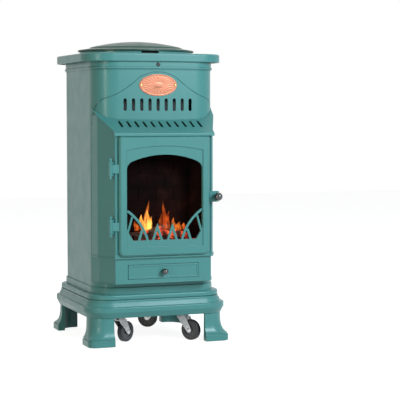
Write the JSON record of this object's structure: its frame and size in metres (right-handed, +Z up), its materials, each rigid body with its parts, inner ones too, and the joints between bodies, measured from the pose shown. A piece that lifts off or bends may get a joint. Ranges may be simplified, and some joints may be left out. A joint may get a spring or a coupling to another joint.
{
  "type": "portable gas cabinet heater",
  "caption": "Stove-shaped portable gas heater cabinet on castors, with a windowed firebox door, drawer, hinged lid over the controls and a lift-off rear cover for the cylinder bay.",
  "frame": {"origin": "on the floor, at the centre of the heater's footprint", "axes": "+Z up, -Y the front with the door, +X the viewer's right when facing the door"},
  "size_m": [0.382, 0.434, 0.785],
  "materials": {
    "enamel": "satin",
    "lid_enamel": "gloss",
    "black_steel": "matt",
    "bare_steel": "satin",
    "zinc": "satin",
    "die_cast": "cast",
    "brass": "satin",
    "copper": "polished",
    "black_screw": "gloss",
    "black_gloss": "gloss",
    "black_plastic": "matt",
    "wheel_hub": "matt",
    "wheel_tyre": "matt",
    "firebrick": "matt",
    "ceramic_log": "matt",
    "ceramic_coal": "matt"
  },
  "bodies": {
    "cabinet": {"plinth": "enamel", "leg_front_left": "enamel", "leg_front_right": "enamel", "leg_rear_left": "enamel", "leg_rear_right": "enamel", "cylinder_tray": "black_steel", "castor_plates": "zinc", "body_shell": "enamel", "fascia": "enamel", "firebox_surround": "enamel", "hood": "enamel", "lower_box": "enamel", "hinge_brackets": "enamel", "hinge_pins": "enamel", "firebox_liner": "black_steel", "brick_lining": "firebrick", "burner_tray": "black_steel", "burner_tube": "bare_steel", "logs": "ceramic_log", "coals": "ceramic_coal", "pilot": "bare_steel", "heat_shield": "black_steel", "neck_ring": "enamel", "top_rim": "enamel", "lid_hinge_base": "enamel", "control_deck": "black_steel", "igniter_bezel": "bare_steel", "gas_valve": "die_cast", "supply_pipe": "bare_steel", "inlet_fitting": "brass", "badge": "copper", "badge_rivets": "brass", "neck_screw": "black_screw"},
    "door": {"door": "enamel", "door_hinge_straps": "enamel", "door_lug": "enamel", "door_knob": "black_gloss"},
    "lid": {"lid": "lid_enamel", "lid_hinge_leaf": "lid_enamel"},
    "drawer": {"drawer": "enamel", "drawer_knob": "black_gloss"},
    "control_knob": {"control_knob": "black_plastic"},
    "igniter_button": {"igniter_button": "black_plastic"},
    "rear_cover": {"rear_cover": "enamel", "cover_screws": "black_plastic"},
    "castor_front_left": {"castor_fork_front_left": "zinc"},
    "wheel_front_left": {"castor_hub_front_left": "wheel_hub", "castor_tyre_front_left": "wheel_tyre"},
    "castor_front_right": {"castor_fork_front_right": "zinc"},
    "wheel_front_right": {"castor_hub_front_right": "wheel_hub", "castor_tyre_front_right": "wheel_tyre"},
    "castor_rear_left": {"castor_fork_rear_left": "zinc"},
    "wheel_rear_left": {"castor_hub_rear_left": "wheel_hub", "castor_tyre_rear_left": "wheel_tyre"},
    "castor_rear_right": {"castor_fork_rear_right": "zinc"},
    "wheel_rear_right": {"castor_hub_rear_right": "wheel_hub", "castor_tyre_rear_right": "wheel_tyre"}
  },
  "joints": [
    {"name": "door_hinge", "type": "hinge", "parent": "cabinet", "child": "door", "pos_m": [-0.143, -0.187, 0.3835], "axis": [0, 0, -1], "range_deg": [0, 110]},
    {"name": "lid_hinge", "type": "hinge", "parent": "cabinet", "child": "lid", "pos_m": [0, 0.1775, 0.753], "axis": [-1, 0, 0], "range_deg": [0, 95]},
    {"name": "drawer_slide", "type": "slide", "parent": "cabinet", "child": "drawer", "axis": [0, -1, 0], "range_m": [0, 0.045]},
    {"name": "control_knob_turn", "type": "hinge", "parent": "cabinet", "child": "control_knob", "pos_m": [-0.045, -0.03, 0.72], "axis": [0, 0, 1], "range_deg": [0, 180]},
    {"name": "igniter_press", "type": "slide", "parent": "cabinet", "child": "igniter_button", "axis": [0, 0, -1], "range_m": [0, 0.005], "stiffness_N_per_m": 600, "springref_m": -0.003},
    {"name": "rear_cover_lift_off", "type": "slide", "parent": "cabinet", "child": "rear_cover", "axis": [0, 1, 0], "range_m": [0, 0.08]},
    {"name": "castor_swivel_front_left", "type": "hinge", "parent": "cabinet", "child": "castor_front_left", "pos_m": [-0.088, -0.082, 0.065], "axis": [0, 0, 1], "continuous": true},
    {"name": "wheel_spin_front_left", "type": "hinge", "parent": "castor_front_left", "child": "wheel_front_left", "pos_m": [-0.06752, -0.06766, 0.027], "axis": [0.5736, -0.8192, 0], "continuous": true},
    {"name": "castor_swivel_front_right", "type": "hinge", "parent": "cabinet", "child": "castor_front_right", "pos_m": [0.088, -0.082, 0.065], "axis": [0, 0, 1], "continuous": true},
    {"name": "wheel_spin_front_right", "type": "hinge", "parent": "castor_front_right", "child": "wheel_front_right", "pos_m": [0.10234, -0.10248, 0.027], "axis": [-0.8192, -0.5736, 0], "continuous": true},
    {"name": "castor_swivel_rear_left", "type": "hinge", "parent": "cabinet", "child": "castor_rear_left", "pos_m": [-0.088, 0.138, 0.065], "axis": [0, 0, 1], "continuous": true},
    {"name": "wheel_spin_rear_left", "type": "hinge", "parent": "castor_rear_left", "child": "wheel_rear_left", "pos_m": [-0.06451, 0.14655, 0.027], "axis": [0.342, -0.9397, 0], "continuous": true},
    {"name": "castor_swivel_rear_right", "type": "hinge", "parent": "cabinet", "child": "castor_rear_right", "pos_m": [0.088, 0.138, 0.065], "axis": [0, 0, 1], "continuous": true},
    {"name": "wheel_spin_rear_right", "type": "hinge", "parent": "castor_rear_right", "child": "wheel_rear_right", "pos_m": [0.06635, 0.1505, 0.027], "axis": [0.5, 0.866, 0], "continuous": true}
  ]
}
